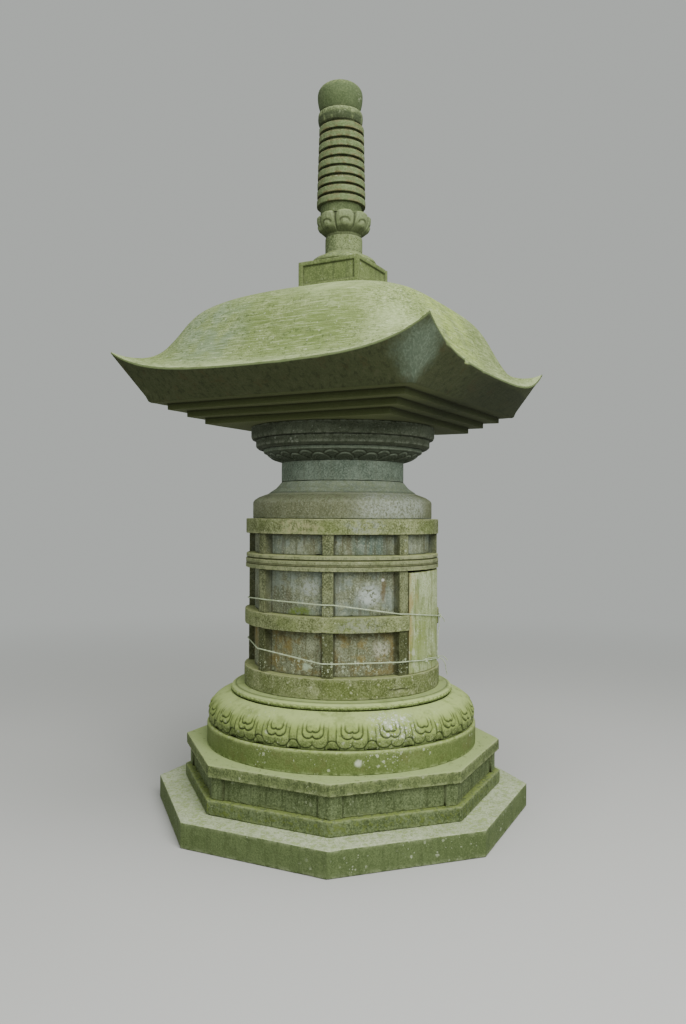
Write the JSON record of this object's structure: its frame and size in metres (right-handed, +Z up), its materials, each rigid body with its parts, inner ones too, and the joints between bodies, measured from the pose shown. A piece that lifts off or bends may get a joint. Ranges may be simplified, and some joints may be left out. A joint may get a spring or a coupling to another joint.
{
  "type": "round stone pagoda with one square roof",
  "caption": "Round stone pagoda: octagonal plinth, lotus base, banded drum with a closed doorway, square roof with upswept corners, ringed finial.",
  "frame": {"origin": "centre of the ground slab's underside, on the ground", "axes": "+Z up; the roof's sides lie along X and Y; the doorway looks along -Y"},
  "size_m": [1.8094, 1.8094, 3.7804],
  "materials": {
    "slab_stone": "rough",
    "plinth_stone": "rough, mossy",
    "lotus_stone": "rough, mossy",
    "band_stone": "rough",
    "wall_stone": "rough, lichen spots",
    "door_stone": "fine tooled",
    "neck_stone": "fine tooled",
    "roof_stone": "fine tooled, mossy",
    "finial_stone": "rough",
    "twine": "matt, weathered"
  },
  "bodies": {
    "root": {"ground_slab": "slab_stone", "plinth_moulding": "plinth_stone", "plinth_panel_1": "plinth_stone", "plinth_panel_2": "plinth_stone", "plinth_panel_3": "plinth_stone", "plinth_panel_4": "plinth_stone", "plinth_panel_5": "plinth_stone", "plinth_panel_6": "plinth_stone", "plinth_panel_7": "plinth_stone", "plinth_panel_8": "plinth_stone", "plinth_post_1": "plinth_stone", "plinth_post_2": "plinth_stone", "plinth_post_3": "plinth_stone", "plinth_post_4": "plinth_stone", "plinth_post_5": "plinth_stone", "plinth_post_6": "plinth_stone", "plinth_post_7": "plinth_stone", "plinth_post_8": "plinth_stone", "plinth_core": "plinth_stone", "plinth_coping": "plinth_stone", "lotus_base": "lotus_stone", "drum_base_band": "band_stone", "drum_lower_wall": "wall_stone", "drum_middle_band": "band_stone", "drum_middle_wall": "wall_stone", "drum_double_band": "band_stone", "drum_upper_wall": "wall_stone", "drum_top_band": "band_stone", "door_leaf_left": "door_stone", "door_leaf_right": "door_stone", "upper_twine": "twine", "lower_twine": "twine", "shoulder": "neck_stone", "neck": "neck_stone", "wave_ring": "neck_stone", "lower_collar": "neck_stone", "upper_collar": "neck_stone", "roof": "roof_stone", "finial_box": "finial_stone", "inverted_bowl": "finial_stone", "lower_lotus": "finial_stone", "ringed_shaft": "finial_stone", "upper_lotus": "finial_stone", "jewel": "finial_stone"}
  },
  "joints": []
}
